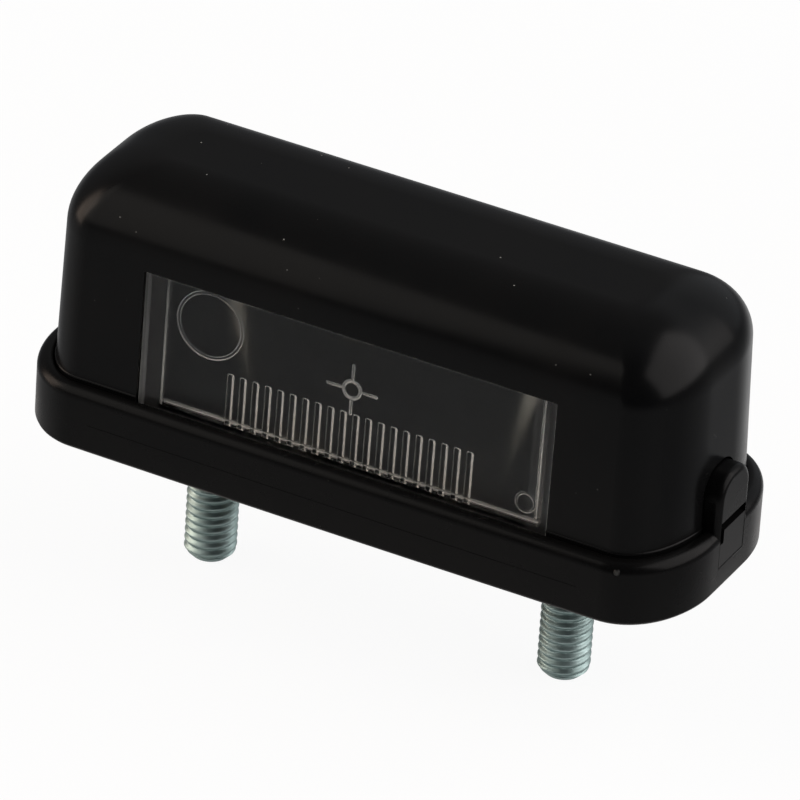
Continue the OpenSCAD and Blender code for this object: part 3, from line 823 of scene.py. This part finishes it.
def clear_plastic(name):
    """Clear moulding with a satin back, whose small rounded edges and end walls are whitened as painted
    glints, with a few whitened dust specks.
    """
    material, tree, shader, coords, normal = nodes_of(name)
    shader.inputs["IOR"].default_value = 1.25
    x, y, z = split_axes(tree, coords)
    across, forward = [math_node(tree, "ABSOLUTE", n) for n in split_axes(tree, normal)[:2]]
    # Painted glints: faces sloping between front and side, and the end walls, are whitened and made less
    # clear
    rise = remap(tree, forward, 0.30, 0.45, 0.0, 1.0)
    fall = remap(tree, forward, 0.985, 0.94, 0.0, 1.0)
    ends = remap(tree, across, 0.8, 0.95, 0.0, 0.5)
    edge = larger(tree, times(tree, rise, fall), ends)
    # A few small dust specks are whitened along with the painted glints
    painted_light_and_dust = larger(tree, edge, specks(tree, coords, 420, 0.05, 0.05))
    # The painted glints grow stronger towards the lens's foot
    painted_light_and_dust = times(tree, painted_light_and_dust, remap(tree, z, 0.022, 0.0105, 0.42, 1.0))
    # Painted light on the front face: it is lightened near the side edges and along the foot, to lift the
    # shade there
    rim = remap(tree, math_node(tree, "ABSOLUTE", x), 0.0228, 0.0230, 0.0, 0.018)
    foot = remap(tree, z, 0.0076, 0.0074, 0.0, 0.042)
    front = remap(tree, y, -0.0127, -0.0131, 0.0, 1.0)
    painted_light_and_dust = larger(tree, painted_light_and_dust, times(tree, larger(tree, rim, foot), front))
    colour = blend_colour(tree, painted_light_and_dust, (0.93, 0.94, 0.94, 1), (0.95, 0.93, 0.88, 1))
    tree.links.new(colour, shader.inputs["Base Color"])
    tree.links.new(remap(tree, painted_light_and_dust, 0.0, 1.0, 1.0, 0.12), shader.inputs["Transmission Weight"])
    satin = remap(tree, y, -0.0127, -0.0123, 0.01, 0.36)
    rough = larger(tree, satin, remap(tree, painted_light_and_dust, 0.0, 1.0, 0.01, 0.3))
    tree.links.new(rough, shader.inputs["Roughness"])
    return material


def glass(name):
    material, tree, shader, coords, _ = nodes_of(name)
    shader.inputs["Base Color"].default_value = (0.95, 0.97, 0.97, 1)
    shader.inputs["Transmission Weight"].default_value = 1.0
    shader.inputs["IOR"].default_value = 1.5
    rough = remap(tree, noise(tree, coords, 200, 3), 0.3, 0.7, 0.0, 0.03)
    tree.links.new(rough, shader.inputs["Roughness"])
    bump(tree, shader, [(noise(tree, coords, 90, 1), 0.1, 0.0001)])
    return material


def metal(name, colour, stain, rough_low, rough_high):
    material, tree, shader, coords, _ = nodes_of(name)
    cloud = remap(tree, noise(tree, coords, 260, 5, 0.6), 0.35, 0.7, 0, 1)
    tree.links.new(blend_colour(tree, cloud, colour, stain), shader.inputs["Base Color"])
    shader.inputs["Metallic"].default_value = 1.0
    rough = remap(tree, noise(tree, coords, 900, 4), 0.3, 0.7, rough_low, rough_high)
    tree.links.new(rough, shader.inputs["Roughness"])
    bump(tree, shader, [(noise(tree, coords, 2600, 3), 0.18, 0.00002)])
    return material


def rubber(name):
    material, tree, shader, coords, _ = nodes_of(name)
    cloud = remap(tree, noise(tree, coords, 120, 4), 0.3, 0.7, 0, 1)
    colour = blend_colour(tree, cloud, (0.012, 0.012, 0.012, 1), (0.02, 0.02, 0.019, 1))
    tree.links.new(colour, shader.inputs["Base Color"])
    rough = remap(tree, noise(tree, coords, 800, 3), 0.3, 0.7, 0.7, 0.9)
    tree.links.new(rough, shader.inputs["Roughness"])
    shader.inputs["Specular IOR Level"].default_value = 0.2
    bump(tree, shader, [(noise(tree, coords, 3000, 3), 0.3, 0.00003)])
    return material


def dress(node, material):
    """Gives a CAD node that stays its finish."""
    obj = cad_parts[node]
    if not obj.material_slots:
        obj.data.materials.append(material)
    for slot in obj.material_slots:
        slot.material = material


def make_floor():
    """White ground that shows the lamp's shadow and fades into the backdrop further out."""
    size, z = 0.6, -STUD_LEN * MM
    mesh = bpy.data.meshes.new("floor")
    corners = [(-size, -size, z), (size, -size, z), (size, size, z), (-size, size, z)]
    mesh.from_pydata(corners, [], [(0, 1, 2, 3)])
    floor = bpy.data.objects.new("floor", mesh)
    bpy.context.collection.objects.link(floor)
    material = bpy.data.materials.new("floor")
    material.use_nodes = True
    tree = material.node_tree
    tree.nodes.clear()
    out = tree.nodes.new("ShaderNodeOutputMaterial")
    diffuse = tree.nodes.new("ShaderNodeBsdfDiffuse")
    diffuse.inputs["Color"].default_value = (0.86, 0.86, 0.86, 1)
    white = tree.nodes.new("ShaderNodeEmission")
    white.inputs["Color"].default_value = (1, 1, 1, 1)
    clear = tree.nodes.new("ShaderNodeBsdfTransparent")

    # The camera sees it almost evenly white, a clear piece half so and a mirroring one less
    path = tree.nodes.new("ShaderNodeLightPath")
    glossy = path.outputs["Is Glossy Ray"]
    through = times(tree, path.outputs["Is Transmission Ray"], 0.5)
    seen = times(tree, path.outputs["Is Camera Ray"], 0.93)
    seen = larger(tree, seen, larger(tree, times(tree, glossy, 0.2), through))
    lit = mix_shaders(tree, seen, diffuse.outputs[0], white.outputs[0])

    # It fades out by the distance from the lamp, and earlier in what mirrors it
    coords = tree.nodes.new("ShaderNodeTexCoord")
    length = tree.nodes.new("ShaderNodeVectorMath")
    length.operation = "LENGTH"
    tree.links.new(coords.outputs["Object"], length.inputs[0])
    away = length.outputs["Value"]
    fade = remap(tree, away, 0.12, 0.34, 0.0, 1.0)
    fade_glossy = times(tree, remap(tree, away, 0.04, 0.085, 0.0, 1.0), glossy)
    surface = mix_shaders(tree, larger(tree, fade, fade_glossy), lit, clear.outputs[0])
    tree.links.new(surface, out.inputs["Surface"])
    floor.data.materials.append(material)


def make_world():
    """Soft even light, a white backdrop, and a studio that the plastic mirrors by direction."""
    world = bpy.data.worlds.new("studio")
    bpy.context.scene.world = world
    world.use_nodes = True
    tree = world.node_tree
    tree.nodes.clear()
    out = tree.nodes.new("ShaderNodeOutputWorld")
    soft = tree.nodes.new("ShaderNodeBackground")
    soft.inputs["Color"].default_value = (0.97, 0.98, 1.0, 1)
    soft.inputs["Strength"].default_value = 0.25
    backdrop = tree.nodes.new("ShaderNodeBackground")
    path = tree.nodes.new("ShaderNodeLightPath")
    glossy = path.outputs["Is Glossy Ray"]
    seen = larger(tree, path.outputs["Is Camera Ray"], glossy)
    seen = larger(tree, seen, path.outputs["Is Transmission Ray"])
    coords = tree.nodes.new("ShaderNodeTexCoord")
    x, y, z = split_axes(tree, coords.outputs["Generated"])

    # Below the horizon: bright behind the lamp, less so to its left and right, and even in front
    rear = remap(tree, y, -0.25, 0.25, 0.0, 1.0)
    left = remap(tree, x, 0.1, -0.42, 1.0, 0.28)
    right = remap(tree, x, 0.37, -0.05, 0.26, 1.0)
    low = between(tree, rear, 0.55, times(tree, left, right))

    # Above it: dark, darkest in front, and lighter higher up
    front = math_node(tree, "SUBTRACT", times(tree, x, 0.6), times(tree, y, 0.8))
    high = times(tree, remap(tree, front, -0.1, 0.3, 0.27, 0.02), remap(tree, x, -0.40, -0.65, 1.0, 0.75))
    high = times(tree, high, remap(tree, z, 0.0, 0.5, 0.45, 1.0))

    # The line between the two is higher at the left front
    shift = times(tree, rest_of(tree, rear), remap(tree, x, -0.1, -0.35, 0.0, 0.25))
    rise = remap(tree, math_node(tree, "SUBTRACT", z, shift), -0.33, -0.08, 0.0, 1.0)
    level = between(tree, rise, low, high)
    dark = times(tree, rest_of(tree, level), glossy)
    colour = blend_colour(tree, dark, (1, 1, 1, 1), (0.0, 0.004, 0.012, 1))
    tree.links.new(colour, backdrop.inputs["Color"])
    tree.links.new(mix_shaders(tree, seen, soft.outputs[0], backdrop.outputs[0]), out.inputs["Surface"])


def lamp(name, azimuth, elevation, distance, size, level, colour):
    """A soft box of the given width and height, whose face is level times as bright as white."""
    data = bpy.data.lights.new(name, "AREA")
    data.shape = "RECTANGLE"
    data.size, data.size_y = size
    data.energy = level * math.pi * size[0] * size[1]
    data.color = colour
    obj = bpy.data.objects.new(name, data)
    a, e = math.radians(azimuth), math.radians(elevation)
    way = Vector((math.cos(a) * math.cos(e), math.sin(a) * math.cos(e), math.sin(e)))
    obj.location = way * distance + Vector((0, 0, 0.02))
    obj.rotation_euler = way.to_track_quat("Z", "Y").to_euler()
    obj.visible_camera = False
    bpy.context.collection.objects.link(obj)


def make_camera():
    """The photo's camera, fitted to the lamp's outline."""
    yaw, pitch, roll = math.radians(26.28), math.radians(30.12), math.radians(3.91)
    distance, aim = 1.04414, Vector((0, 0, 0.015))
    photo_side, pixels_per_mm, centre_x, centre_y = 800, 9.07, 402.42, 356.34
    back = Vector((math.sin(yaw) * math.cos(pitch), -math.cos(yaw) * math.cos(pitch), math.sin(pitch)))
    level_right = Vector((math.cos(yaw), math.sin(yaw), 0))
    level_up = back.cross(level_right)
    right = math.cos(roll) * level_right + math.sin(roll) * level_up
    up = -math.sin(roll) * level_right + math.cos(roll) * level_up
    data = bpy.data.cameras.new("camera")
    data.sensor_width = 36.0
    data.lens = pixels_per_mm * distance / MM * data.sensor_width / photo_side
    data.shift_x = (photo_side / 2 - centre_x) / photo_side
    data.shift_y = (centre_y - photo_side / 2) / photo_side
    data.clip_start = 0.01
    data.clip_end = 20
    camera = bpy.data.objects.new("camera", data)
    place = Matrix((right, up, back)).transposed().to_4x4()
    place.translation = aim + back * distance
    camera.matrix_world = place
    bpy.context.collection.objects.link(camera)
    bpy.context.scene.camera = camera


tray_plastic = black_plastic("tray_plastic", (0.0021, 0.0021, 0.0022, 1), (0.0030, 0.0029, 0.0029, 1),
                             0.24, 0.32, gate=True)
hood_plastic = black_plastic("hood_plastic", (0.0030, 0.0031, 0.0033, 1), (0.0039, 0.0038, 0.0038, 1),
                             0.19, 0.27)
lens_plastic = clear_plastic("clear_plastic")
zinc = metal("zinc_steel", (0.36, 0.46, 0.455, 1), (0.27, 0.36, 0.35, 1), 0.42, 0.54)
brass = metal("contact_brass", (0.30, 0.28, 0.24, 1), (0.23, 0.20, 0.16, 1), 0.32, 0.48)
rivet_metal = metal("rivet_brass", (0.42, 0.32, 0.19, 1), (0.32, 0.24, 0.13, 1), 0.30, 0.46)
nickel = metal("cap_metal", (0.66, 0.66, 0.65, 1), (0.56, 0.55, 0.53, 1), 0.2, 0.36)
tungsten = metal("filament_wire", (0.3, 0.3, 0.31, 1), (0.22, 0.22, 0.23, 1), 0.3, 0.5)
bulb_clear = glass("bulb_glass")
seal_rubber = rubber("seal_rubber")

finish_piece(make_tray(), tray_plastic, "base")
finish_piece(make_hood(), hood_plastic, "housing")
finish_piece(make_lens(), lens_plastic, "lens").name = "front_lens"
for side, name in ((-1, "left"), (1, "right")):
    stud = finish_piece(make_stud(side * STUD_X), zinc, name + "_stud")
    stud.name = name + "_threaded_stud"
    cap = finish_piece(make_cap(side), nickel, name + "_bulb_cap")
    cap.name = name + "_festoon_cap"
    dress(name + "_contact", brass)
    dress(name + "_terminal", brass)
    dress(name + "_rivet", rivet_metal)
finish_piece(make_bulb_glass(), bulb_clear, "bulb_glass").name = "festoon_glass"
finish_piece(make_filament(), tungsten, "bulb_filament").name = "coiled_filament"
dress("cover_seal", seal_rubber)

make_floor()
make_world()
lamp("window", 21, 33, 1.0, (1.25, 1.15), 2.6, (1.0, 0.95, 0.93))
lamp("left", -167, 18, 1.0, (0.54, 0.74), 4.0, (1.0, 0.80, 0.66))
lamp("front", -138, 35, 0.22, (0.215, 0.19), 1.5, (1.0, 0.95, 0.89))
lamp("back", 80, 22, 1.1, (0.85, 0.85), 0.3, (0.90, 0.95, 1.0))
make_camera()
bpy.context.scene.view_settings.view_transform = "Standard"

bpy.context.view_layer.update()
